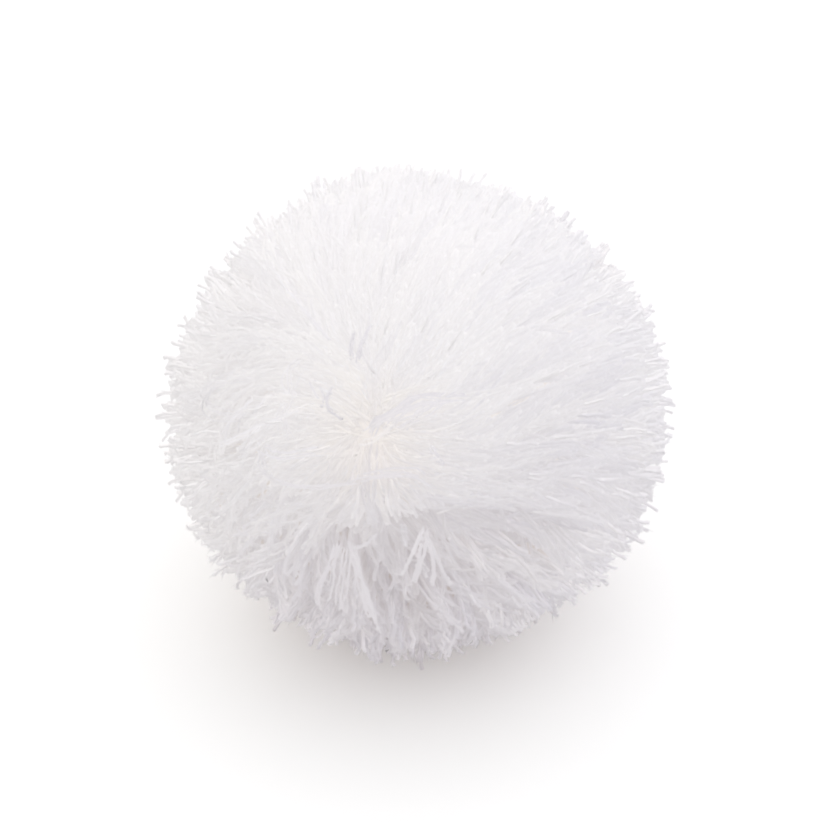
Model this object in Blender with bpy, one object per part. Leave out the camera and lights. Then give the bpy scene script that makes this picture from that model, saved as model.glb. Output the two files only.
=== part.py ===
"""A pom pom: a ball of cut white yarn, bound round its middle and lying on a table.

Its heart is the dense yarn near the binding. Locks of yarn stand out from the heart all round, and fall away
from the crown, where the yarn parts. The ball sinks a little under its own weight, and the locks beneath it
end on the table. +Z is up, +X is to the right and -Y is the side that the crown looks to. The origin is on
the table, under the middle of the ball's box. Sizes are in metres.
"""

import math
import random

import bmesh
import bpy
from mathutils import Matrix, Vector, noise

BALL_WIDTH = 0.148  # across the longest cut ends
BALL_FLATNESS = 0.945  # height over width, as the yarn sags
SINK = 0.0055  # how far the underside is pressed in
MIDDLE_HEIGHT = BALL_WIDTH * BALL_FLATNESS / 2 - SINK
HEART_SHARE = 0.76  # the heart's radius over the ball's
LUMPS = 0.035  # how uneven the ball is, as a share of its radius
LUMP_PITCH = 2.1  # lumps to a radius

CROWN_ELEVATION = math.radians(28)  # the crown looks up by this much
CROWN_TURN = math.radians(13)  # and left of -Y by this much
CROWN_DEPTH = 0.26  # its hollow, as a share of the radius
CROWN_SPREAD = math.radians(24)

LEAN = 0.74  # how far a lock by the crown leans over, as a share of its tip's angle from the crown
LEAN_SPREAD = math.radians(80)
SAG = 0.10  # how far a lock's tip drops, as a share of its distance from the middle
WANDER = math.radians(9)  # how far a lock's root lies to the side of its tip
WANDER_PITCH = 1.7  # turns of that wander to a radius
STRAY = 0.06  # how far a lock's tip strays from its neighbours' way, by the same measure

LOCK_CORNERS = 150  # the pile's faces are twice as many, less four, and each is a lock
CORNER_JITTER = 0.22  # of the distance between two corners
SHORTEST, LONGEST = 0.90, 1.04  # a lock's reach over the ball's radius
LEAST_LOCK = 0.004  # a shorter one isn't grown
SEED = 5

# Each step along a lock: the share of its length, and how far it has narrowed towards its own middle line.
LOCK_STEPS = ((0.0, 0.20), (0.25, 0.44), (0.60, 0.55), (0.90, 0.62), (1.0, 0.80))
TABLE_NARROWING = 0.55  # a lock pressed on the table stays wider at its tip

YARN_WHITE = (0.86, 0.85, 0.86, 1.0)
YARN_ROUGHNESS = 0.95
CREASE = math.radians(40)  # a lock's edges stay crisp past this angle

DOWN = Vector((0, 0, -1))
CROWN = Vector(
    (
        -math.sin(CROWN_TURN) * math.cos(CROWN_ELEVATION),
        -math.cos(CROWN_TURN) * math.cos(CROWN_ELEVATION),
        math.sin(CROWN_ELEVATION),
    )
)


def clear_scene():
    for old in list(bpy.data.objects):
        bpy.data.objects.remove(old)


def yarn_material():
    """Soft white acrylic yarn: no gloss."""
    material = bpy.data.materials.new("white_yarn")
    material.use_nodes = True
    shader = material.node_tree.nodes["Principled BSDF"]
    shader.inputs["Base Color"].default_value = YARN_WHITE
    shader.inputs["Roughness"].default_value = YARN_ROUGHNESS
    shader.inputs["Metallic"].default_value = 0.0
    return material


def ball_radius(way):
    """How far the cut ends reach from the ball's middle, this way, with no table under them."""
    half_width = BALL_WIDTH / 2
    half_height = half_width * BALL_FLATNESS
    level = math.hypot(way.x, way.y)
    plain = 1 / math.hypot(level / half_width, way.z / half_height)
    hollow = CROWN_DEPTH * math.exp(-((CROWN.angle(way) / CROWN_SPREAD) ** 2))
    lump = LUMPS * noise.noise(way * LUMP_PITCH)
    return plain * (1 - hollow + lump)


def table_distance(way):
    """How far it is from the ball's middle to the table, this way."""
    drop = way.dot(DOWN)
    return MIDDLE_HEIGHT / drop if drop > 0 else math.inf


def heart_radius(way):
    return HEART_SHARE * ball_radius(way)


def yarn_way(tip_way, share):
    """Where yarn whose end points to tip_way points to, this share of the way from the heart to its end.

    It leans away from the crown, wanders to the side and sags. Neighbours do so alike, so they never cross.
    """
    angle = CROWN.angle(tip_way)
    lean = LEAN * angle * math.exp(-((angle / LEAN_SPREAD) ** 2))
    back = Matrix.Rotation(-lean * (1 - share), 3, CROWN.cross(tip_way))
    wander = WANDER * noise.noise(tip_way * WANDER_PITCH)
    aside = Matrix.Rotation(wander * (1 - share), 3, CROWN)
    return (aside @ back @ tip_way + DOWN * SAG * share).normalized()


def lock_point(tip_way, middle_way, share, narrowing, reach, stray):
    """A corner of a lock, from the ball's middle."""
    narrowed = tip_way.lerp(middle_way, narrowing).normalized()
    way = (yarn_way(narrowed, share) + stray * share**2).normalized()
    start = heart_radius(yarn_way(narrowed, 0))
    end = min(ball_radius(way) * reach, table_distance(way))
    return way * (start + (end - start) * share)


def even_ball():
    """A closed unit mesh of triangles, with its corners spread evenly and a little out of line."""
    chance = random.Random(SEED)
    ball = bmesh.new()
    turn = math.pi * (3 - math.sqrt(5))
    spacing = math.sqrt(4 * math.pi / LOCK_CORNERS)
    for i in range(LOCK_CORNERS):
        height = 1 - (2 * i + 1) / LOCK_CORNERS
        across = math.sqrt(1 - height * height)
        even = Vector((across * math.cos(turn * i), across * math.sin(turn * i), height))
        shift = Vector(chance.uniform(-1, 1) for _ in range(3)) * spacing * CORNER_JITTER
        ball.verts.new((even + shift).normalized())
    bmesh.ops.convex_hull(ball, input=ball.verts)
    bmesh.ops.recalc_face_normals(ball, faces=ball.faces)
    return ball


def grow_lock(ball, face, tip_way, chance):
    """Draws one face of the heart out into a lock of yarn."""
    middle_way = sum((v[tip_way] for v in face.verts), Vector()).normalized()
    end_way = yarn_way(middle_way, 1)
    on_table = table_distance(end_way) < ball_radius(end_way) * LONGEST
    reach = LONGEST if on_table else chance.uniform(SHORTEST, LONGEST)
    stray = Vector(chance.uniform(-1, 1) for _ in range(3)) * STRAY
    start = heart_radius(yarn_way(middle_way, 0))
    if min(ball_radius(end_way) * reach, table_distance(end_way)) - start < LEAST_LOCK:
        return
    for share, narrowing in LOCK_STEPS:
        if on_table:
            narrowing = min(narrowing, TABLE_NARROWING)
        face = bmesh.ops.extrude_discrete_faces(ball, faces=[face])["faces"][0]
        for corner in face.verts:
            corner.co = lock_point(corner[tip_way], middle_way, share, narrowing, reach, stray)


def pom_pom():
    chance = random.Random(SEED + 1)
    ball = even_ball()
    tip_way = ball.verts.layers.float_vector.new("tip_way")
    for corner in ball.verts:
        corner[tip_way] = corner.co
        root_way = yarn_way(corner.co, 0)
        corner.co = root_way * heart_radius(root_way)
    for face in list(ball.faces):
        grow_lock(ball, face, tip_way, chance)
    set_on_table(ball)
    mesh = bpy.data.meshes.new("pom_pom")
    ball.to_mesh(mesh)
    ball.free()
    mesh.shade_smooth()
    mesh.set_sharp_from_angle(angle=CREASE)
    mesh.materials.append(yarn_material())
    return bpy.data.objects.new("pom_pom", mesh)


def set_on_table(ball):
    """Moves the ball so that its box stands on the table with its middle over the origin."""
    xs = [v.co.x for v in ball.verts]
    ys = [v.co.y for v in ball.verts]
    centre = Vector(((min(xs) + max(xs)) / 2, (min(ys) + max(ys)) / 2, -MIDDLE_HEIGHT))
    bmesh.ops.translate(ball, verts=ball.verts, vec=-centre)


clear_scene()
parts = bpy.data.collections.new("pom_pom")
bpy.context.scene.collection.children.link(parts)
parts.objects.link(pom_pom())
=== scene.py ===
"""The pom pom's looks: its heart, the lengths of yarn, their fuzz, the floor, the light and the camera."""

import math
from types import SimpleNamespace

import bpy
import numpy as np
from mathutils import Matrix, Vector, noise


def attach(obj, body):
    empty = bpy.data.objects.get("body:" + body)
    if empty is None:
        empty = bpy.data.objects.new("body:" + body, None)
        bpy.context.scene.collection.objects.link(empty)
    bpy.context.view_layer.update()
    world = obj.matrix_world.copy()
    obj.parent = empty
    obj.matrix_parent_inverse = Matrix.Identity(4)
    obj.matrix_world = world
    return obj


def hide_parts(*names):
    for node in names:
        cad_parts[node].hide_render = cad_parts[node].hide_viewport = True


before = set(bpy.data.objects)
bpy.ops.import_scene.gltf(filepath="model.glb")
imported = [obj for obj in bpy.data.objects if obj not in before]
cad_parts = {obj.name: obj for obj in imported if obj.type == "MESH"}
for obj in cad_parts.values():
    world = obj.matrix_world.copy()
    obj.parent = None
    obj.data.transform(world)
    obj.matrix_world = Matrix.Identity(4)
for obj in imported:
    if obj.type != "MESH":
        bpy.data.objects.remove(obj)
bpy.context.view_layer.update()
bpy.ops.object.select_all(action="DESELECT")

# --------------------------------------------------------------------------------------------------------
# The view. The photograph shows the ball from the front and 35 degrees above, through a long lens.
# 830 pixels hold 240 mm at the ball's middle, and some of the yarn is laid by its place in that view.
# --------------------------------------------------------------------------------------------------------
VIEW_PIXELS = 830
VIEW_WIDTH = 0.240
VIEW_ELEVATION = math.radians(35)
MIDDLE_PIXEL = (417.5, 409.5)  # where the ball's middle shows
LENS, SENSOR = 100.0, 36.0

BALL_RADIUS = 0.0728
FLATNESS = 0.945  # height over width, as the yarn sags
MIDDLE = Vector((0.0, 0.0, 0.0644))

TO_CAMERA = Vector((0.0, -math.cos(VIEW_ELEVATION), math.sin(VIEW_ELEVATION)))
VIEW_UP = Vector((0.0, math.sin(VIEW_ELEVATION), math.cos(VIEW_ELEVATION)))
VIEW_RIGHT = Vector((1.0, 0.0, 0.0))
PER_PIXEL = VIEW_WIDTH / VIEW_PIXELS
DISTANCE = VIEW_WIDTH * LENS / SENSOR
AIM = (
    MIDDLE
    + VIEW_RIGHT * (VIEW_PIXELS / 2 - MIDDLE_PIXEL[0]) * PER_PIXEL
    - VIEW_UP * (VIEW_PIXELS / 2 - MIDDLE_PIXEL[1]) * PER_PIXEL
)
EYE = AIM + TO_CAMERA * DISTANCE


def way_through(pixel):
    """The way from the ball's middle to the place on it that shows at a pixel of the photograph."""
    across = (pixel[0] - VIEW_PIXELS / 2) * PER_PIXEL
    up = (VIEW_PIXELS / 2 - pixel[1]) * PER_PIXEL
    sight = (VIEW_RIGHT * across + VIEW_UP * up - TO_CAMERA * DISTANCE).normalized()
    from_middle = EYE - MIDDLE
    towards = from_middle.dot(sight)
    inside = max(0.0, towards**2 - from_middle.length_squared + BALL_RADIUS**2)
    return np.array((from_middle - sight * (towards + math.sqrt(inside))).normalized())


def pixels_of(ways):
    """Where the ball's surface shows in the photograph, each way, and how squarely it faces the camera."""
    from_eye = ways * BALL_RADIUS + np.array(MIDDLE - EYE)
    scale = DISTANCE / PER_PIXEL / (from_eye @ np.array(-TO_CAMERA))
    across = VIEW_PIXELS / 2 + from_eye @ np.array(VIEW_RIGHT) * scale
    down = VIEW_PIXELS / 2 - from_eye @ np.array(VIEW_UP) * scale
    return across, down, ways @ np.array(TO_CAMERA)


camera_data = bpy.data.cameras.new("camera")
camera_data.lens, camera_data.sensor_width = LENS, SENSOR
camera = bpy.data.objects.new("camera", camera_data)
bpy.context.scene.collection.objects.link(camera)
camera.location = EYE
camera.rotation_euler = (-TO_CAMERA).to_track_quat("-Z", "Y").to_euler()
bpy.context.scene.camera = camera

# --------------------------------------------------------------------------------------------------------
# The heart: the yarn next to the binding, in the middle of the ball. It is the same white acrylic yarn,
# pressed so close that it is one bumpy mass, and shows down between the lengths that stand out.
# --------------------------------------------------------------------------------------------------------
SEED = 11
chance = np.random.default_rng(SEED)

CROWN = way_through((366, 437))
# Where the yarn parts: photograph's pixel, how deep as a share of the radius, how wide in degrees, and over
# how many degrees round the middle no length ends.
PARTINGS = (
    ((366, 437), 0.06, 17, 14),
    ((352, 322), 0.03, 9, 6),
    ((338, 546), 0.02, 8, 3),
    ((456, 534), 0.07, 7, 2),
)
# Where the outline swells: photograph's pixel, how far as a share of the radius, and how wide in degrees.
SWELLS = (
    ((542, 193), -0.045, 18),
    ((650, 330), -0.035, 16),
    ((400, 165), 0.015, 16),
    ((191, 304), -0.03, 15),
    ((175, 450), 0.01, 24),
)
LUMPS = 0.03  # how uneven the pile is, as a share of the radius
LUMP_PITCH = 2.1  # lumps to a radius
HEART_SHARE = 0.88  # the heart's reach over the pile's
CROWN_FILL = 0.05  # how much more it is by the crown, which is shallow
CROWN_WIDTH = math.radians(28)

# The pile hangs over a lower tier at two lips, and shade is painted on what is below them.
MAIN_LIP = SimpleNamespace(
    line=((290, 500), (345, 522), (388, 525), (439, 521), (470, 506), (510, 506), (590, 512)),
    rise=0.015,  # shares of the radius
    drop=0.08,
    rounding=14,  # pixels
    hollow=75,  # pixels below the lip, over which the pile comes out again
    # how strongly shade is painted under the lip
    painted_lip_shade=1.0,
)
FOLD = SimpleNamespace(
    line=((285, 470), (320, 479), (350, 479), (380, 475), (420, 472), (460, 470)),
    rise=0.015,
    drop=0.040,
    rounding=7,
    hollow=20,
    # how strongly shade is painted under the fold
    painted_lip_shade=0.9,
)
LIPS = (MAIN_LIP, FOLD)
LIP_ENDS = 90  # pixels, over which a lip runs out at its ends
LIP_SLOPE = 30  # pixels above a lip, over which the pile rises to it


def length_of(vectors):
    return np.sqrt(np.sum(vectors * vectors, axis=-1, keepdims=True))


def unit(vectors):
    return vectors / np.maximum(length_of(vectors), 1e-9)


def dot(a, b):
    return np.sum(a * b, axis=-1)


def angle_between(a, b):
    return np.arccos(np.clip(dot(a, b), -1, 1))


def waves(ways, pitch, shift=0.0):
    """A smooth number between about -1 and 1 for each way."""
    return np.array([noise.noise(Vector(way) * pitch + Vector((shift, shift, shift))) for way in ways])


def under(lip, ways):
    """How many pixels below a lip each way is, and three shares from 0 to 1.

    They are how well it lies between the lip's ends, past its rounded edge, and in the hollow under it.
    """
    across, down, facing = pixels_of(ways)
    below = down - np.interp(across, *zip(*lip.line))
    from_ends = np.minimum(across - lip.line[0][0], lip.line[-1][0] - across)
    inside = np.clip(from_ends / LIP_ENDS, 0, 1) * (facing > 0)
    past = np.clip(below / lip.rounding, 0, 1)
    return below, inside, past, inside * past * np.exp(-((np.maximum(below, 0) / lip.hollow) ** 2))


def tiers(ways):
    """How much farther out the pile stands by the lips, each way, as a share of the ball's radius."""
    farther = 0
    for lip in LIPS:
        below, inside, past, covered = under(lip, ways)
        rise = inside * lip.rise * (1 - past) * np.exp(np.minimum(below, 0) / LIP_SLOPE)
        farther = farther + rise - covered * lip.drop
    return farther


def ball_reach(ways):
    """How far the cut ends reach from the ball's middle, each way, with no floor under them."""
    level = np.hypot(ways[:, 0], ways[:, 1])
    plain = 1 / np.hypot(level / BALL_RADIUS, ways[:, 2] / (BALL_RADIUS * FLATNESS))
    hollows = [(pixel, depth, wide) for pixel, depth, wide, _ in PARTINGS]
    hollows += [(pixel, -swell, wide) for pixel, swell, wide in SWELLS]
    hollow = sum(
        depth * np.exp(-((angle_between(ways, way_through(pixel)) / math.radians(wide)) ** 2))
        for pixel, depth, wide in hollows
    )
    return plain * (1 - hollow + LUMPS * waves(ways, LUMP_PITCH) + tiers(ways))


def heart_reach(ways):
    """How far the heart reaches, each way."""
    near = np.exp(-((angle_between(ways, CROWN) / CROWN_WIDTH) ** 2))
    return ball_reach(ways) * (HEART_SHARE + CROWN_FILL * near)


bpy.ops.mesh.primitive_ico_sphere_add(subdivisions=5, radius=1.0)
heart = bpy.context.object
heart.name = heart.data.name = "heart"
ways = np.array([v.co for v in heart.data.vertices])
places = ways * heart_reach(ways)[:, None] + np.array(MIDDLE)
heart.data.vertices.foreach_set("co", places.ravel())
heart.data.update()
bpy.ops.object.shade_smooth()


def linear(hex_colour):
    """An sRGB hex colour as linear RGBA."""
    shares = [int(hex_colour[i : i + 2], 16) / 255 for i in (1, 3, 5)]
    return (*(s / 12.92 if s <= 0.04045 else ((s + 0.055) / 1.055) ** 2.4 for s in shares), 1.0)


def add_node(tree, kind, sockets=None, **settings):
    """Adds a node with its settings. Each socket takes a value, or is linked from another node's output."""
    node = tree.nodes.new(kind)
    for name, value in settings.items():
        setattr(node, name, value)
    for socket, given in (sockets or {}).items():
        if isinstance(given, bpy.types.NodeSocket):
            tree.links.new(given, node.inputs[socket])
        else:
            node.inputs[socket].default_value = given
    return node


def new_material(name, roughness, gloss):
    material = bpy.data.materials.new(name)
    material.use_nodes = True
    shader = material.node_tree.nodes["Principled BSDF"]
    shader.inputs["Roughness"].default_value = roughness
    shader.inputs["Specular IOR Level"].default_value = gloss
    return material, material.node_tree, shader


# Packed acrylic yarn: chalky white and without gloss. The lengths in it, side by side, show as small bumps.
PACKED_PITCH = 0.0016  # from one length to the next
PACKED_BUMP = 0.0006
packed_yarn, tree, shader = new_material("packed_acrylic_yarn", roughness=0.95, gloss=0.1)
place = add_node(tree, "ShaderNodeTexCoord")
pattern = {"Vector": place.outputs["Object"], "Scale": 1 / PACKED_PITCH}
ends = add_node(tree, "ShaderNodeTexVoronoi", pattern)
relief = {"Height": ends.outputs["Distance"], "Distance": PACKED_BUMP, "Strength": 0.5}
bump = add_node(tree, "ShaderNodeBump", relief)
tree.links.new(bump.outputs["Normal"], shader.inputs["Normal"])
heart.data.materials.append(packed_yarn)
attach(heart, "root")
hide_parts("pom_pom")

# --------------------------------------------------------------------------------------------------------
# One length of yarn: two-ply acrylic about 1.25 mm thick, cut off with scissors, with its end a little
# fluffed out. It is modelled once, along +Z and one unit long, and each length is a bent copy of it.
# --------------------------------------------------------------------------------------------------------
YARN_THICKNESS = 0.00125
YARN_FLATNESS = 0.6  # its thickness out of the pile over its thickness along it
ROOT_END = 0.3  # the two ends' thickness over the yarn's own
CUT_END = 1.0
CUT_SLANT = 1.6  # how slanting the cut is
CUT_ROOM = 0.8  # of the last stretch of a length, which the slant keeps to
WARM_SPREAD = math.radians(14)  # how far from the crown the yarn is warmer
END_TURN = 0.15  # how far the light on a cut end is its own, and not the pile's
STEEP_TURN = 0.8  # how far a length that stands up steeply is lit as from above
STEEP_SOFTNESS = 0.5  # how much less soft its light is
PATTERN_STEP = 7.31  # mm of pattern from one length to the next, so that they differ
MM = 1000  # to a metre
# Share of the length, and thickness there over the yarn's own.
YARN_RINGS = ((0.30, 1.0), (0.48, 1.0), (0.62, 1.0), (0.74, 1.0), (0.86, 1.05), (0.96, 1.2))


def yarn_shape(sides, rings):
    """A straight length of yarn, one long and one thick: its rings, corners and faces."""
    bpy.ops.mesh.primitive_cylinder_add(
        vertices=sides, radius=0.5, depth=1, location=(0, 0, 0.5), calc_uvs=True
    )
    template = bpy.context.object
    bpy.ops.object.transform_apply(location=True)
    bpy.ops.object.mode_set(mode="EDIT")
    for share, _ in rings:
        bpy.ops.mesh.select_all(action="SELECT")
        bpy.ops.mesh.bisect(plane_co=(0, 0, share), plane_no=(0, 0, 1))
    bpy.ops.object.mode_set(mode="OBJECT")
    mesh = template.data
    points = np.array([v.co for v in mesh.vertices])
    shares, ring = np.unique(np.round(points[:, 2], 4), return_inverse=True)
    swell = np.interp(shares, *zip((0, ROOT_END), *rings, (1, CUT_END)))
    shape = SimpleNamespace(
        shares=shares,
        ring=ring,
        cross=points[:, :2] * swell[ring][:, None] * (1, YARN_FLATNESS),
        loops=np.array([loop.vertex_index for loop in mesh.loops]),
        starts=np.array([face.loop_start for face in mesh.polygons]),
        totals=np.array([face.loop_total for face in mesh.polygons]),
        around=np.array([loop.uv[0] for loop in mesh.uv_layers[0].data]),
    )
    bpy.data.objects.remove(template)
    return shape


PILE_YARN = yarn_shape(3, YARN_RINGS)


def frames_along(routes):
    """Three ways for each ring of each route: along it, to its side, and out of the pile.

    The side is carried from ring to ring, so that a length never twists.
    """
    along = unit(np.gradient(routes, axis=1))
    outward = routes.mean(axis=1) - np.array(MIDDLE)
    side = unit(np.cross(outward, routes[:, -1] - routes[:, 0]))
    sides = []
    for step in along.swapaxes(0, 1):
        side = unit(side - step * dot(step, side)[:, None])
        sides.append(side)
    sides = np.stack(sides, axis=1)
    return along, sides, np.cross(along, sides)


def mesh_piece(name, places, loops, starts, totals, material):
    """Joins the copies of one shape, whose corners are at these places, as one piece of the pile."""
    count, points = places.shape[:2]
    mesh = bpy.data.meshes.new(name)
    mesh.vertices.add(count * points)
    mesh.vertices.foreach_set("co", places.ravel())
    copy = np.arange(count)[:, None]
    mesh.loops.add(count * len(loops))
    mesh.loops.foreach_set("vertex_index", (loops + copy * points).ravel())
    mesh.polygons.add(count * len(starts))
    mesh.polygons.foreach_set("loop_start", (starts + copy * len(loops)).ravel())
    mesh.polygons.foreach_set("loop_total", np.tile(totals, count))
    mesh.polygons.foreach_set("use_smooth", np.ones(count * len(starts), bool))
    mesh.update(calc_edges=True)
    piece = bpy.data.objects.new(name, mesh)
    bpy.context.scene.collection.objects.link(piece)
    mesh.materials.append(material)
    # Loosely spun yarn lets the light through, so that the lengths hardly shade one another.
    piece.visible_diffuse = piece.visible_shadow = False
    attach(piece, "root")
    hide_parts("pom_pom")
    return piece


def add_values(mesh, name, values):
    """Keeps a number from 0 to 1 at each corner of the mesh, for its material."""
    mesh.attributes.new(name, "FLOAT", "POINT").data.foreach_set("value", np.clip(values, 0, 1).ravel())


UNDERSIDE = 0.6  # how far the side of a length that faces into the pile keeps facing in


def soft_normals(cross, outward, soft):
    """Turns the way that each corner faces towards the way that the pile does."""
    own = unit(cross)
    lit = outward - own * np.minimum(dot(outward, own), 0)[:, :, None] * UNDERSIDE
    return unit(own * (1 - soft) + lit * soft)


def yarn_piece(name, shape, routes, thickness, lean, soft, tone, dim, shade):
    """Copies the length of yarn along each route, and joins the copies as one piece.

    The yarn's fuzz softens the light on it: soft is how far a length is lit as the whole ball is, and lean
    how far the roundness of its lock turns that.
    """
    count, points = len(routes), len(shape.ring)
    along, side, other = frames_along(routes)
    cross = side[:, shape.ring] * shape.cross[:, :1] + other[:, shape.ring] * shape.cross[:, 1:]
    places = routes[:, shape.ring] + cross * thickness[:, None, None]
    last = shape.ring == len(shape.shares) - 1
    room = length_of(routes[:, -1:] - routes[:, -2:-1]) * CUT_ROOM
    slant = shape.cross[last, 1:] * thickness[:, None, None] * CUT_SLANT
    places[:, last] -= along[:, -1:] * np.clip(slant, -room, room)
    piece = mesh_piece(name, places, shape.loops, shape.starts, shape.totals, acrylic_yarn)
    mesh = piece.data
    outward = unit(unit(places - np.array(MIDDLE)) + lean[:, None])
    upright = dot(outward, along[:, shape.ring])[:, :, None] ** 2
    outward = unit(outward * (1 - STEEP_TURN * upright) + np.array((0, 0, STEEP_TURN)) * upright)
    outward[:, last] = unit(outward[:, last] + along[:, -1:] * END_TURN)
    normals = soft_normals(cross, outward, soft[:, None, None] * (1 - STEEP_SOFTNESS * upright))
    mesh.normals_split_custom_set_from_vertices(normals.reshape(-1, 3))
    long = length_of(np.diff(routes, axis=1)).sum(axis=(1, 2))
    uv = np.empty((count, len(shape.loops), 2))
    uv[:, :, 0] = shape.around
    in_mm = shape.shares[shape.ring[shape.loops]] * long[:, None] * MM
    uv[:, :, 1] = in_mm + np.arange(count)[:, None] * PATTERN_STEP
    mesh.uv_layers.new(name="along_yarn").data.foreach_set("uv", uv.ravel())
    near_crown = np.exp(-((angle_between(unit(places - np.array(MIDDLE)), CROWN) / WARM_SPREAD) ** 2))
    # Values for the material: its tone, the painted shade of dim and shade, and warmth by the crown.
    add_values(mesh, "tone", np.repeat(tone, points))
    add_values(mesh, "dim", np.repeat(dim, points))
    add_values(mesh, "shade", shade[:, shape.ring])
    add_values(mesh, "warmth", near_crown)
    return piece


# Two-ply spun acrylic: white, soft and without gloss. The plies show as slanting grooves, and the fibres as
# streaks that run with them. Real fibres are much too fine to show, so the streaks and tufts are coarser.
PLY_TURN = 5.6  # mm along the yarn for one turn of a ply
STREAKS = (9.0, 0.8, 1.0)  # streaks round the yarn, and to a mm along it
STREAK_RELIEF = 0.6  # over the plies' own
TUFTS = 1400  # tufts of fibre to a metre
TUFT_RELIEF = 2.0
RELIEF = 0.00012
acrylic_yarn, tree, shader = new_material("two_ply_acrylic_yarn", roughness=0.9, gloss=0.1)
shader.inputs["Sheen Weight"].default_value = 0.35
shader.inputs["Sheen Roughness"].default_value = 0.6
uv = add_node(tree, "ShaderNodeUVMap", uv_map="along_yarn")
split = add_node(tree, "ShaderNodeSeparateXYZ", {"Vector": uv.outputs["UV"]})
turns = add_node(tree, "ShaderNodeMath", {0: split.outputs["Y"], 1: PLY_TURN}, operation="DIVIDE")
around = add_node(tree, "ShaderNodeMath", {0: split.outputs["X"], 1: turns.outputs[0]}, operation="ADD")
angle = add_node(tree, "ShaderNodeMath", {0: around.outputs[0], 1: 2 * math.pi}, operation="MULTIPLY")
wave = add_node(tree, "ShaderNodeMath", {0: angle.outputs[0]}, operation="SINE")
plies = add_node(tree, "ShaderNodeMath", {0: wave.outputs[0]}, operation="ABSOLUTE")
stretched = {"Vector": uv.outputs["UV"], "Scale": STREAKS}
streaks = add_node(tree, "ShaderNodeMapping", stretched, vector_type="POINT")
fibres = add_node(tree, "ShaderNodeTexNoise", {"Vector": streaks.outputs[0], "Scale": 1.0, "Detail": 2.0})
sum_of = {0: fibres.outputs[0], 1: STREAK_RELIEF, 2: plies.outputs[0]}
spun = add_node(tree, "ShaderNodeMath", sum_of, operation="MULTIPLY_ADD")
place = add_node(tree, "ShaderNodeTexCoord")
pattern = {"Vector": place.outputs["Object"], "Scale": TUFTS, "Detail": 3.0}
tufts = add_node(tree, "ShaderNodeTexNoise", pattern)
sum_of = {0: tufts.outputs[0], 1: TUFT_RELIEF, 2: spun.outputs[0]}
fluffy = add_node(tree, "ShaderNodeMath", sum_of, operation="MULTIPLY_ADD")
relief = {"Height": fluffy.outputs[0], "Distance": RELIEF, "Strength": 0.22}
bump = add_node(tree, "ShaderNodeBump", relief)
tree.links.new(bump.outputs["Normal"], shader.inputs["Normal"])

# Painted shade: the yarn turns lavender where little light comes, and warm brown in the gaps.
PAINTED_SHADE = (("dim", "#B6AABA", "MULTIPLY"), ("shade", "#A2948F", "MULTIPLY"))


def layered(tree, base, *layers):
    """Lays colours over a base, each as strongly as a node's output or a value kept on the mesh says."""
    below = linear(base)
    for strength, colour, *blend in layers:
        if isinstance(strength, str):
            strength = add_node(tree, "ShaderNodeAttribute", attribute_name=strength).outputs["Fac"]
        # A mix has sockets for several kinds of value: those for colours are 6 and 7, and come out at 2.
        colours = {"Factor": strength, 6: below, 7: linear(colour)}
        mix = add_node(tree, "ShaderNodeMix", colours, data_type="RGBA", blend_type=(*blend, "MIX")[0])
        below = mix.outputs[2]
    return below


yarn_colour = layered(
    tree, "#F0ECED", (fibres.outputs[0], "#FEFCFC"), ("warmth", "#FEF8F3"), ("tone", "#E9E6EB"), *PAINTED_SHADE
)
tree.links.new(yarn_colour, shader.inputs["Base Color"])

# --------------------------------------------------------------------------------------------------------
# The pile: thousands of cut lengths of two-ply white acrylic yarn, bound round their middle. They part at
# the crown, and fall away from it in locks that cling together. Each length is laid back from its cut end
# to its root in the heart. Fewer, thicker and shorter ones fill the pile under them.
# --------------------------------------------------------------------------------------------------------
YARN_COUNT = 15600
CROWN_YARN_COUNT = 14000  # over a whole ball; only those by the crown are kept
CROWN_YARN_SPREAD = math.radians(27)
UNDER_YARN_COUNT = 2400
UNDER_YARN_THICKNESS = (1.2, 1.8)  # over the yarn's own
FLOOR_GAP = 0.0003
DEEP = 0.009  # this far below the cut ends, the painted shade is full, as no more light is lost
TIP_JITTER = 0.35  # of the distance between two tips
BARE_EDGE = (0.7, 1.3)  # how ragged the edge of a parting's bare middle is
UNDER_YARN_DEPTHS = (0.06, 0.05)  # how much lower its shortest and longest reach, in radii
THICKNESSES = (0.85, 1.12)  # one length's over another's


def even_tips(count):
    """Ways spread evenly over the ball, a little out of line."""
    i = np.arange(count)
    height = 1 - (2 * i + 1) / count
    across = np.sqrt(1 - height**2)
    turn = i * math.pi * (3 - math.sqrt(5))
    even = np.stack([across * np.cos(turn), across * np.sin(turn), height], axis=1)
    return unit(even + chance.normal(size=even.shape) * TIP_JITTER * math.sqrt(4 * math.pi / count))


def clear_of_partings(tips):
    """Leaves out the tips in the bare middles of the partings, which have ragged edges."""
    kept = np.ones(len(tips), bool)
    for pixel, _, _, bare in PARTINGS:
        least = np.radians(bare * chance.uniform(*BARE_EDGE, len(tips)))
        kept &= angle_between(tips, way_through(pixel)) > least
    return tips[kept]


def along_surface(vectors, ways):
    """The vectors without the part of them that points out of the ball."""
    return vectors - ways * dot(vectors, ways)[:, None]


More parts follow.
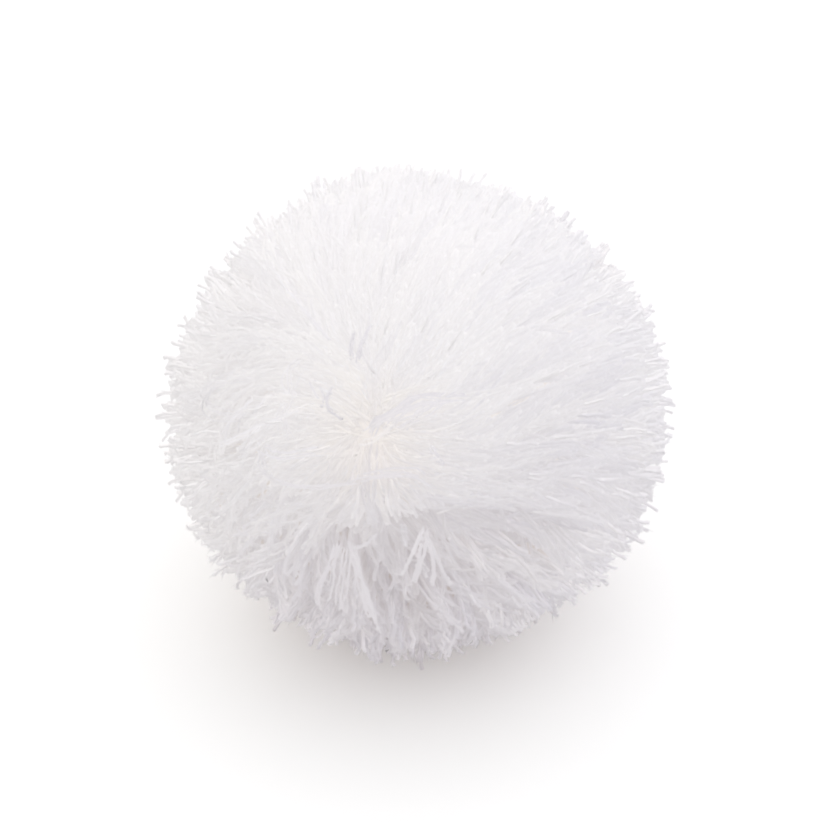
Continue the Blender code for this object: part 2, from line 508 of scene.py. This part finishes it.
# How the yarn lies on the near side: photograph's pixel, and its way there in degrees, anticlockwise from
# the right.
COMBED = (
    ((345, 262), 93), ((300, 285), 118), ((262, 262), 112), ((385, 240), 70), ((430, 255), 60),
    ((500, 235), 36), ((560, 290), 30), ((440, 330), 43), ((520, 350), 37), ((600, 340), 27),
    ((510, 400), 33), ((610, 400), 12), ((550, 450), 22), ((620, 470), 0), ((440, 468), 2),
    ((500, 500), 4), ((575, 530), -22), ((480, 545), -5), ((500, 590), -30), ((430, 600), -75),
    ((372, 598), -66), ((335, 590), -88), ((290, 560), -108), ((240, 520), -120), ((240, 450), -140),
    ((225, 390), -143), ((240, 330), -163), ((300, 350), 165), ((312, 440), -172), ((345, 502), -165),
    ((388, 502), -8), ((420, 550), -80), ((462, 575), -30), ((440, 620), -55), ((356, 462), -128),
    ((390, 460), -22),
)
COMBED_REACH = math.radians(10)
CROWN_REACH = math.radians(10)
CROWN_BLUR = 0.06  # how far the lengths miss the crown's middle, in radii
FALL_PULL = 0.25  # how strongly the yarn falls away from the crown, over how strongly it is combed
CROWN_PULL = 3  # how much more so by the crown
SWIRL_PITCH = 2.4  # turns of the lie's wandering to a radius
LEAST_FACING = 0.15  # at the ball's rim, the combing is worked out as if it faced the camera by this much

# How the yarn looks on each side. The first value is the photograph's pixel there, or the way to a place
# that it doesn't show. Then come these, nine to a line.
SETTINGS = (
    "back",  # how far round the ball a length lies, in degrees
    "swirl",  # how far the lie wanders
    "flat",  # how soon the yarn bends over
    "lock",  # lengths in a lock
    "slender",  # the lock's width over its length
    "pull",  # how tightly its ends are gathered
    "lock_turn",  # how far a lock lies out of line, in degrees
    "lock_lift",  # how far a lock stands up, in radii
    "turn",  # how far one length lies out of its lock's line, in degrees
    "kink",  # how wavy a length is, in mm
    "short",  # the shortest length's reach over the ball's radius
    "long",  # and the longest's
    "lean",  # how rounded a lock is
    "soft",  # how fuzzy
    "tone",  # how bluish
    "dim",  # painted shade where little light comes to it
    "shade",  # how much shade is painted between the locks
    "thick",  # thickness of the yarn over its usual one
)
SIDES = {
    "right": (
        (630, 400),
        22, 0.25, 2.0, 18, 0.25, 0.22, 5, 0.007, 5,
        0.3, 0.94, 0.995, 0.05, 0.985, 0.32, 0.04, 0.05, 0.9,
    ),
    "top": (
        (430, 210),
        22, 0.25, 2.0, 18, 0.25, 0.22, 6, 0.007, 5,
        0.3, 0.94, 0.995, 0.05, 0.985, 0.25, 0, 0.05, 0.9,
    ),
    "crown": (
        (366, 437),
        24, 0.10, 2.2, 8, 0.25, 0.10, 6, 0.005, 5,
        0.2, 0.94, 1.0, 0.05, 0.985, 0.1, 0, 0.02, 0.5,
    ),
    "upper_left": (
        (285, 265),
        19, 0.3, 1.9, 14, 0.3, 0.25, 8, 0.007, 8,
        0.5, 0.93, 1.0, 0.06, 0.985, 0.22, 0, 0.06, 0.8,
    ),
    "lower_right": (
        (600, 520),
        17, 0.3, 1.9, 18, 0.3, 0.4, 11, 0.012, 9,
        0.5, 0.93, 1.0, 0.13, 0.95, 0.3, 0.16, 0.21, 0.9,
    ),
    "fan": (
        (350, 265),
        22, 0.2, 2.1, 12, 0.25, 0.2, 6, 0.006, 4,
        0.3, 0.95, 0.995, 0.05, 0.985, 0.15, 0, 0.02, 0.8,
    ),
    "left": (
        (220, 420),
        15, 0.35, 1.7, 9, 0.35, 0.4, 16, 0.014, 15,
        0.9, 0.92, 1.0, 0.15, 0.94, 0.12, 0.0, 0.31, 0.7,
    ),
    "front": (
        (390, 610),
        14, 0.35, 1.6, 16, 0.40, 0.65, 22, 0.022, 10,
        0.9, 0.90, 1.0, 0.16, 0.92, 0.3, 0.26, 0.42, 0.9,
    ),
    "left_rim": (
        (-1.0, 0.1, 0.0),
        16, 0.35, 1.7, 12, 0.35, 0.5, 12, 0.01, 7,
        0.3, 0.92, 0.99, 0.12, 0.95, 0.15, 0, 0.2, 1.15,
    ),
    "back_right": (
        (1.0, 1.2, 0.1),
        18, 0.4, 1.8, 14, 0.3, 0.4, 9, 0.01, 7,
        0.3, 0.94, 1.0, 0.2, 0.35, 0.3, 0.05, 0.25, 1.0,
    ),
    "back_left": (
        (-1.0, 1.2, 0.1),
        18, 0.4, 1.8, 14, 0.3, 0.4, 9, 0.01, 7,
        0.3, 0.94, 1.0, 0.2, 0.35, 0.3, 0.05, 0.25, 1.0,
    ),
    "underside": (
        (0.0, 0.35, -1.0),
        16, 0.4, 1.7, 16, 0.35, 0.4, 9, 0.01, 7,
        0.3, 0.94, 1.0, 0.2, 0.5, 0.3, 0.3, 0.3, 1.0,
    ),
}
BLEND = 9  # the higher, the more suddenly one side's look changes to the next one's


def side_way(place):
    return way_through(place) if len(place) == 2 else unit(np.array(place))


SIDE_WAYS = np.array([side_way(look[0]) for look in SIDES.values()])
SIDE_LOOKS = np.array([look[1:] for look in SIDES.values()])


def looks_at(tips):
    """How the yarn looks at each tip: the looks of the sides round it, blended."""
    weights = np.exp(BLEND * tips @ SIDE_WAYS.T)
    blended = weights / weights.sum(axis=1, keepdims=True) @ SIDE_LOOKS
    return SimpleNamespace(**dict(zip(SETTINGS, blended.T)))


def fall_of(ways, swirl, centre):
    """The way that the yarn lies along the ball: away from the crown, and as it is combed near COMBED."""
    from_crown = np.exp(-((angle_between(ways, CROWN) / CROWN_REACH) ** 2))
    fall = unit(along_surface(ways - centre, ways)) * (FALL_PULL + CROWN_PULL * from_crown)[:, None]
    facing = np.maximum(ways @ np.array(TO_CAMERA), LEAST_FACING)[:, None]
    for pixel, degrees in COMBED:
        turn = math.radians(degrees)
        on_screen = np.array(VIEW_RIGHT * math.cos(turn) + VIEW_UP * math.sin(turn))
        combed = unit(on_screen - (ways @ on_screen)[:, None] / facing * np.array(TO_CAMERA))
        near = np.exp(-((angle_between(ways, way_through(pixel)) / COMBED_REACH) ** 2))
        fall = fall + along_surface(combed, ways) * near[:, None]
    fall = unit(fall)
    swirls = np.stack([waves(ways, SWIRL_PITCH, shift) for shift in (3.1, 7.7, 11.3)], axis=1)
    return unit(fall + along_surface(swirls, ways) * swirl[:, None])


def locks_of(tips, fall, look):
    """Each length's lock, the number of locks, and how far the length stands to its lock's side."""
    share = 1 / look.lock
    heads = chance.choice(len(tips), int(share.sum()), replace=False, p=share / share.sum())
    distance = 2 - 2 * tips @ tips[heads].T - (1 - look.slender**2)[:, None] * (fall @ tips[heads].T) ** 2
    own = np.argmin(distance, axis=1)
    offset = tips - tips[heads][own]
    return own, len(heads), offset - fall * dot(offset, fall)[:, None]


# How a length is laid.
STEEP_FROM = math.radians(50)  # from the crown, past which the lengths come to stand up from the ball
STEEP_OVER = math.radians(35)
STEEP_FLATNESS = 1.2  # how soon they bend over, in place of their side's own
STEEP_BACK = 0.45  # how much less far round the ball they lie
MOST_BACK = 0.95  # how far round the ball a length lies at most, over its tip's angle from the crown
BACK_SPREAD = (0.8, 1.15)  # how unevenly far round the lengths lie, over their side's own
OUT_OF_LINE = 60  # degrees at most
ROOT_SHARE = 0.97  # a root's distance from the middle over the heart's
STANDING_SHARE = 0.06  # of the lengths stand up past the others
STANDING_REACH = (0.995, 1.035)  # over the pile's
STANDING_BACK = 0.5  # how far round the ball they lie, over the others
LOCK_UNEVENNESS = 0.01  # how much farther one lock reaches than another, over the pile's reach
CLING = 1.6  # the higher, the nearer to their ends the lengths of a lock gather
KINKS = (0.8, 2.6)  # to a length
KINK_SIZES = (0.3, 1.0)  # over its side's own
WIDEST_HALF = 0.62  # a cut end's half width, over the yarn's thickness
BRIGHT_SHARE = 0.985  # of the pile's reach, past which no light is lost and no shade is painted
LOCK_SHADE = 0.25  # painted shade at a lock's sides, over the painted shade right down in the pile
LIP_SHADES = (0.15, 0.3)  # painted shade under a lip: on the cut ends, and how much more down in the pile
TONE_SPREADS = (0.6, 0.25)  # how uneven the tone is from lock to lock, and from length to length


def lay(tips, look, shape, stand_out=STANDING_SHARE):
    """The routes of the lengths of yarn that end at these tips, how each is lit, and its painted shade."""
    count = len(tips)
    shares = shape.shares[None, :, None]
    angle = angle_between(tips, CROWN)
    centre = unit(np.array(CROWN) + chance.normal(size=tips.shape) * CROWN_BLUR)
    tip_fall = fall_of(tips, look.swirl, centre)
    own, heads, lateral = locks_of(tips, tip_fall, look)
    half_width = np.median(length_of(lateral)) * 2
    out_of_line = chance.normal(size=heads)[own] * look.lock_turn + chance.standard_t(3, count) * look.turn
    out_of_line = np.radians(np.clip(out_of_line, -OUT_OF_LINE, OUT_OF_LINE))
    upright = np.clip((angle - STEEP_FROM) / STEEP_OVER, 0, 1)
    standing = chance.uniform(size=count) < stand_out
    back = np.minimum(angle * MOST_BACK, np.radians(look.back)) * (1 - STEEP_BACK * upright)
    back = back * chance.uniform(*BACK_SPREAD, count)
    back = np.where(standing, back * STANDING_BACK, back)
    # Each length is followed back from its tip to its root.
    ways, fall = [tips], tip_fall
    for step in np.diff(shape.shares)[::-1]:
        aside = np.cross(ways[-1], fall)
        fall = fall * np.cos(out_of_line)[:, None] + aside * np.sin(out_of_line)[:, None]
        turn = (back * step)[:, None]
        ways.append(unit(ways[-1] * np.cos(turn) - fall * np.sin(turn)))
        fall = fall_of(ways[-1], look.swirl, centre)
    ways = np.stack(ways[::-1], axis=1)
    root = heart_reach(ways[:, 0]) * ROOT_SHARE
    ball = ball_reach(tips)
    reach = ball * (look.short + (look.long - look.short) * chance.uniform(size=count))
    reach = reach + ball * chance.normal(size=heads)[own] * LOCK_UNEVENNESS
    reach = np.where(standing, ball * chance.uniform(*STANDING_REACH, count), reach)
    flat = look.flat + (STEEP_FLATNESS - look.flat) * upright
    rise = 1 - (1 - shares) ** flat[:, None, None]
    routes = ways * (root[:, None, None] + (reach - root)[:, None, None] * rise)
    # Neighbours cling together in locks.
    routes = routes - lateral[:, None] * BALL_RADIUS * look.pull[:, None, None] * shares**CLING
    lift = chance.normal(size=heads)[own] * look.lock_lift
    routes = routes + (tips * lift[:, None])[:, None] * BALL_RADIUS * shares**2
    # Each length is wavy in its own way.
    _, side, other = frames_along(routes)
    for across in (side, other):
        cycles = chance.uniform(*KINKS, (count, 1, 1))
        start = chance.uniform(0, 2 * math.pi, (count, 1, 1))
        size = chance.uniform(*KINK_SIZES, (count, 1, 1)) * look.kink[:, None, None] / MM
        routes = routes + across * size * shares * np.sin(2 * math.pi * cycles * shares + start)
    routes = routes + np.array(MIDDLE)
    least = YARN_THICKNESS * WIDEST_HALF + FLOOR_GAP
    routes[:, :, 2] = np.maximum(routes[:, :, 2], least)
    # Painted shade: the deeper below the cut ends, at a lock's sides and under the lips, the more.
    far = length_of(routes - np.array(MIDDLE))[:, :, 0]
    over = unit(routes - np.array(MIDDLE)).reshape(-1, 3)
    depth = np.clip((ball_reach(over).reshape(count, -1) * BRIGHT_SHARE - far) / DEEP, 0, 1)
    beside = np.clip(length_of(lateral) / half_width, 0, 1)
    painted_lip_shade = sum(lip.painted_lip_shade * under(lip, over)[3] for lip in LIPS).reshape(count, -1)
    on_ends, farther_down = LIP_SHADES
    shade = (depth + LOCK_SHADE * beside) * look.shade[:, None] + painted_lip_shade * (on_ends + farther_down * depth)
    by_lock, by_length = TONE_SPREADS
    tone = 1 + by_lock * chance.normal(size=heads)[own]
    tone = look.tone * (tone + by_length * chance.normal(size=count))
    return routes, lateral / half_width * look.lean[:, None], tone, shade


low_tips = clear_of_partings(even_tips(UNDER_YARN_COUNT))
look = looks_at(low_tips)
look.short = look.short - UNDER_YARN_DEPTHS[0]
look.long = look.long - UNDER_YARN_DEPTHS[1]
routes, lean, tone, shade = lay(low_tips, look, PILE_YARN, stand_out=0)
thickness = YARN_THICKNESS * chance.uniform(*UNDER_YARN_THICKNESS, len(low_tips))
yarn_piece("under_pile", PILE_YARN, routes, thickness, lean, look.soft, tone, look.dim, shade)

tips = clear_of_partings(even_tips(YARN_COUNT))
crown_tips = clear_of_partings(even_tips(CROWN_YARN_COUNT))
tips = np.concatenate([tips, crown_tips[angle_between(crown_tips, CROWN) < CROWN_YARN_SPREAD]])
look = looks_at(tips)
routes, lean, tone, shade = lay(tips, look, PILE_YARN)
pile_routes, pile_shade = routes, shade
thickness = YARN_THICKNESS * look.thick * chance.uniform(*THICKNESSES, len(tips))
side_of = np.argmax(tips @ SIDE_WAYS.T, axis=1)
for index, name in enumerate(SIDES):
    mine = side_of == index
    args = [values[mine] for values in (routes, thickness, lean, look.soft, tone, look.dim, shade)]
    yarn_piece("pile_" + name, PILE_YARN, *args)

# Painted shade on the heart: as much as the pile over it is deep in shade.
HEART_SHADE = 1.5  # over the pile's own
HEART_LIP_SHADE = 0.4
HEART_SHADE_LIFT = 0.1  # how much less painted shade it has all over: painted light, as light comes through the yarn
heart_ways = unit(np.array([v.co for v in heart.data.vertices]) - np.array(MIDDLE))
lip_shade = sum(lip.painted_lip_shade * under(lip, heart_ways)[3] for lip in LIPS)
heart_look = looks_at(heart_ways)
add_values(heart.data, "dim", heart_look.dim)
add_values(heart.data, "shade", heart_look.shade * HEART_SHADE + lip_shade * HEART_LIP_SHADE - HEART_SHADE_LIFT)
tree = packed_yarn.node_tree
heart_colour = layered(tree, "#F3EDE9", *PAINTED_SHADE)
tree.links.new(heart_colour, tree.nodes["Principled BSDF"].inputs["Base Color"])

# --------------------------------------------------------------------------------------------------------
# The loose yarn: single lengths that lie across the pile by the crown, over the fold and under the lip.
# They are the same acrylic yarn, untwisted into thinner plies. Each small bunch is laid along a course of
# points over the pile, and starts down in it.
# --------------------------------------------------------------------------------------------------------
LOOSE_YARN = yarn_shape(5, [(share, 1.0) for share in np.linspace(0.0625, 0.9375, 15)])
LOOSE_WOBBLE = 0.00012  # how far a length strays from its course at each ring
LOOSE_STEADINESS = 2.5  # how far apart two lengths lie, over how far one strays at a point of its course
LOOSE_THICKNESSES = (0.85, 1.15)  # one length's over another's
LOOSE_DIM = 0.5  # painted shade, over the pile's own there, as the loose yarn lies outermost
LOOSE_SOFTNESS = 0.8
# Each bunch's lengths, how far apart they lie in mm, their tone, painted shade and thickness over the
# yarn's own, and then the course: the photograph's pixel, and how far out as a share of the pile's reach.
LOOSE = (
    ((3, 0.35, 0.9, 0.08, 0.38), (345, 354, 0.985), (347, 342, 1.015), (351, 330, 1.04)),
    ((3, 0.35, 0.9, 0.07, 0.38), (353, 358, 0.985), (358, 344, 1.015), (369, 325, 1.04)),
    ((6, 0.7, 0.85, 0.08, 0.42), (365, 434, 0.96), (374, 422, 1.0), (390, 413, 1.015), (408, 403, 1.02),
     (430, 396, 1.015), (468, 396, 0.99)),
    ((6, 1.3, 0.7, 0.06, 0.42), (372, 431, 0.96), (386, 420, 1.0), (402, 409, 1.005), (424, 400, 1.0),
     (456, 397, 0.98)),
    ((5, 1.0, 0.7, 0.06, 0.40), (393, 433, 0.97), (404, 421, 1.0), (420, 411, 1.005), (442, 402, 0.99)),
    ((3, 0.6, 0.4, 0.01, 0.35), (356, 446, 0.97), (370, 444, 1.0), (381, 437, 1.015), (390, 428, 1.01)),
    ((3, 0.5, 0.8, 0.07, 0.40), (430, 448, 0.99), (436, 457, 1.01), (443, 466, 1.0)),
    ((5, 1.3, 0.7, 0.06, 0.45), (344, 487, 1.0), (366, 481, 1.02), (392, 476, 1.03), (414, 479, 1.03),
     (434, 490, 1.0)),
    ((2, 0.5, 0.7, 0.02, 0.40), (266, 268, 1.0), (284, 290, 1.015), (300, 312, 1.01), (318, 334, 0.98)),
    ((4, 1.0, 0.55, 0.00, 0.40), (248, 374, 0.99), (232, 378, 1.01), (216, 388, 1.02), (209, 402, 1.02),
     (220, 412, 1.01), (240, 416, 0.99)),
    ((3, 1.0, 0.55, 0.00, 0.40), (252, 395, 0.98), (246, 408, 1.01), (236, 420, 1.02), (230, 436, 1.0)),
    ((4, 1.2, 0.5, 0.00, 0.40), (292, 358, 1.0), (281, 378, 1.02), (286, 402, 1.02), (276, 420, 1.015),
     (282, 440, 1.0)),
    ((3, 1.0, 0.55, 0.00, 0.40), (303, 407, 0.99), (284, 418, 1.02), (262, 428, 1.02), (222, 446, 1.0)),
    ((4, 1.0, 0.7, 0.00, 0.40), (256, 441, 0.99), (268, 448, 1.01), (285, 451, 1.02), (312, 450, 1.0)),
    ((4, 1.0, 0.6, 0.02, 0.40), (258, 451, 0.99), (266, 466, 1.01), (281, 479, 1.02), (310, 486, 1.02),
     (351, 485, 0.99)),
    ((2, 0.3, 0.9, 0.09, 0.45), (327, 384, 1.0), (323, 398, 1.015), (326, 410, 1.01), (335, 419, 0.98)),
    ((1, 0.2, 0.8, 0.06, 0.40), (314, 408, 0.99), (318, 397, 1.01), (326, 392, 1.01)),
    ((2, 0.4, 0.8, 0.05, 0.45), (302, 376, 1.0), (309, 387, 1.01), (313, 398, 1.0), (314, 408, 0.98)),
    ((3, 0.5, 0.1, 0.00, 0.40), (277, 420, 0.99), (294, 409, 1.015), (313, 400, 1.0)),
    ((2, 0.5, 0.4, 0.12, 0.75), (425, 543, 1.0), (417, 557, 1.03), (409, 568, 1.035), (404, 577, 1.03)),
    ((2, 0.5, 0.5, 0.14, 0.75), (426, 545, 1.0), (421, 560, 1.03), (417, 572, 1.035), (413, 584, 1.03)),
    ((2, 0.5, 0.5, 0.14, 0.75), (425, 548, 1.0), (431, 562, 1.03), (434, 574, 1.035), (433, 587, 1.03)),
    ((2, 0.5, 0.5, 0.14, 0.70), (428, 550, 1.0), (437, 564, 1.03), (444, 576, 1.035), (452, 588, 1.03)),
    ((3, 0.5, 0.6, 0.14, 0.60), (402, 526, 1.0), (403, 540, 1.02), (405, 554, 1.02)),
    ((4, 0.8, 0.5, 0.10, 0.45), (344, 551, 0.99), (355, 568, 1.02), (365, 584, 1.03), (372, 602, 1.03),
     (378, 622, 1.03)),
    ((4, 0.8, 0.5, 0.12, 0.45), (342, 552, 0.99), (352, 572, 1.02), (360, 590, 1.03), (365, 610, 1.03)),
    ((4, 0.8, 0.5, 0.12, 0.45), (341, 553, 0.99), (342, 570, 1.02), (341, 585, 1.03), (338, 602, 1.03)),
    ((4, 0.8, 0.6, 0.12, 0.45), (336, 552, 0.99), (330, 566, 1.02), (324, 582, 1.03), (322, 598, 1.03)),
    ((3, 0.8, 0.6, 0.10, 0.45), (378, 532, 1.02), (371, 543, 1.02), (360, 549, 1.01), (348, 553, 0.99)),
)


def along_points(points, shares):
    """A smooth route through the points, sampled at these shares of it."""
    points = np.array(points)
    ends = np.concatenate([points[:1] * 2 - points[1:2], points, points[-1:] * 2 - points[-2:-1]])
    place = shares * (len(points) - 1)
    span = np.minimum(place.astype(int), len(points) - 2)
    t = (place - span)[:, None]
    a, b, c, d = (ends[span + i] for i in range(4))
    return 0.5 * (2 * b + (c - a) * t + (2 * a - 5 * b + 4 * c - d) * t**2 + (3 * b - a - 3 * c + d) * t**3)


routes = []
loose_looks = []
for (lengths, apart, *loose_look), *course in LOOSE:
    loose_looks += [loose_look] * lengths
    ways = np.array([way_through(point[:2]) for point in course])
    lifts = np.array([point[2] for point in course])
    points = ways * (ball_reach(ways) * lifts)[:, None]
    for _ in range(lengths):
        astray = chance.normal(size=3) * apart / MM
        astray = astray + chance.normal(size=points.shape) * apart / (LOOSE_STEADINESS * MM)
        wobble = chance.normal(size=(len(LOOSE_YARN.shares), 3)) * LOOSE_WOBBLE
        routes.append(along_points(points + astray, LOOSE_YARN.shares) + wobble)
routes = np.array(routes) + np.array(MIDDLE)
count = len(routes)
tone, shade, thickness = np.array(loose_looks).T
thickness = thickness * YARN_THICKNESS * chance.uniform(*LOOSE_THICKNESSES, count)
shade = np.repeat(shade[:, None], len(LOOSE_YARN.shares), axis=1)
dim = looks_at(unit(routes[:, -1] - np.array(MIDDLE))).dim * LOOSE_DIM
soft = np.full(count, LOOSE_SOFTNESS)
yarn_piece("loose_yarn", LOOSE_YARN, routes, thickness, np.zeros((count, 3)), soft, tone, dim, shade)

# --------------------------------------------------------------------------------------------------------
# The fuzz: single acrylic fibres that have worked loose from the spun yarn, and stand off it near the cut
# ends. Each is a thin spike that grows out of its length. Real fibres are about 0.03 mm thick, which is too
# fine to show, so they are drawn ten times as thick.
# --------------------------------------------------------------------------------------------------------
FUZZ_COUNT = 32000
FUZZ_THICKNESS = 0.0003
FUZZ_LENGTH = (0.0015, 0.004)
FUZZ_RINGS = (3, 5)  # of the yarn, between which the fibres grow
FUZZ_DEPTH = 0.25  # how far from the yarn's middle they start, in thicknesses
FUZZ_LIFTS = (0.0, 0.3)  # how far they stand off
FUZZ_STRAY = 0.16  # how far they stray from the yarn's way
FUZZ_SOFTNESS = 0.7

# Loose acrylic fibres: pale and without gloss, so that they blur the yarn's edges. Shade is painted on them
# as on their yarn.
acrylic_fibres, tree, shader = new_material("loose_acrylic_fibres", roughness=0.9, gloss=0.1)
fibre_colour = layered(tree, "#F6F4F6", ("dim", "#F1EFF4"), *PAINTED_SHADE)
tree.links.new(fibre_colour, shader.inputs["Base Color"])

along, side, other = frames_along(pile_routes)
which = chance.integers(0, len(pile_routes), FUZZ_COUNT)
ring = chance.integers(*FUZZ_RINGS, FUZZ_COUNT)
part = chance.uniform(0, 1, (FUZZ_COUNT, 1))
foot = pile_routes[which, ring] * (1 - part) + pile_routes[which, ring + 1] * part
around = chance.uniform(0, 2 * math.pi, (FUZZ_COUNT, 1))
out = side[which, ring] * np.cos(around) + other[which, ring] * np.sin(around)
foot = foot + out * YARN_THICKNESS * FUZZ_DEPTH
lift = out * chance.uniform(*FUZZ_LIFTS, (FUZZ_COUNT, 1))
way = unit(lift + along[which, ring] + chance.normal(size=out.shape) * FUZZ_STRAY)
across = unit(np.cross(way, chance.normal(size=out.shape)))
over = np.cross(way, across)
sides = [across * math.cos(turn) + over * math.sin(turn) for turn in (0, 2 * math.pi / 3, 4 * math.pi / 3)]
tip = foot + way * chance.uniform(*FUZZ_LENGTH, (FUZZ_COUNT, 1))
tip[:, 2] = np.maximum(tip[:, 2], FLOOR_GAP)
places = np.stack([*(foot + side * FUZZ_THICKNESS / 2 for side in sides), tip], axis=1)
spike = np.array((0, 2, 1, 0, 1, 3, 1, 2, 3, 2, 0, 3))  # the corners of its four faces
fuzz = mesh_piece("fuzz", places, spike, np.arange(4) * 3, np.full(4, 3), acrylic_fibres)
normals = soft_normals(np.stack([*sides, way], axis=1), unit(places - np.array(MIDDLE)), FUZZ_SOFTNESS)
fuzz.data.normals_split_custom_set_from_vertices(normals.reshape(-1, 3))
# Painted shade, as on the length each fibre grows from.
add_values(fuzz.data, "shade", np.repeat(pile_shade[which, ring], 4))
add_values(fuzz.data, "dim", np.repeat(look.dim[which], 4))

# --------------------------------------------------------------------------------------------------------
# The floor and the light: a sheet of white paper, a large softbox right above the ball, and a white room
# that is brighter behind the ball than in front of it, and a little warmer on its left.
# --------------------------------------------------------------------------------------------------------
bpy.ops.mesh.primitive_plane_add(size=6)
floor = bpy.context.object
floor.name = floor.data.name = "floor"
# Matt white paper: it has no shine, and shows only a faint shadow under the ball.
white_paper, tree, shader = new_material("white_paper_sheet", roughness=1.0, gloss=0.0)
shader.inputs["Base Color"].default_value = linear("#FAFAFA")
floor.data.materials.append(white_paper)

world = bpy.data.worlds.new("white_room")
bpy.context.scene.world = world
world.use_nodes = True
tree = world.node_tree
background = tree.nodes["Background"]
way = add_node(tree, "ShaderNodeTexCoord")
split = add_node(tree, "ShaderNodeSeparateXYZ", {"Vector": way.outputs["Generated"]})
brighter_behind = {"Value": split.outputs["Y"], "From Min": -1, "To Min": 0.66, "To Max": 1.12}
strength = add_node(tree, "ShaderNodeMapRange", brighter_behind)
tree.links.new(strength.outputs[0], background.inputs["Strength"])
from_left = add_node(tree, "ShaderNodeMapRange", {"Value": split.outputs["X"], "From Min": -1})
room_colour = layered(tree, "#FFFEFB", (from_left.outputs[0], "#FAFBFF"))
tree.links.new(room_colour, background.inputs["Color"])

softbox_data = bpy.data.lights.new("softbox", "AREA")
softbox_data.shape = "SQUARE"
softbox_data.size = 1.6
softbox_data.energy = 3.0
softbox = bpy.data.objects.new("softbox", softbox_data)
bpy.context.scene.collection.objects.link(softbox)
softbox.location = MIDDLE + Vector((0.1, -0.05, 1.1))
softbox.rotation_euler = (MIDDLE - softbox.location).to_track_quat("-Z", "Y").to_euler()

scene = bpy.context.scene
scene.view_settings.view_transform = "Standard"
scene.view_settings.gamma = 1.0
scene.view_settings.exposure = 0.225
scene.cycles.filter_width = 2.3
scene.cycles.max_bounces = 16
scene.cycles.diffuse_bounces = 16
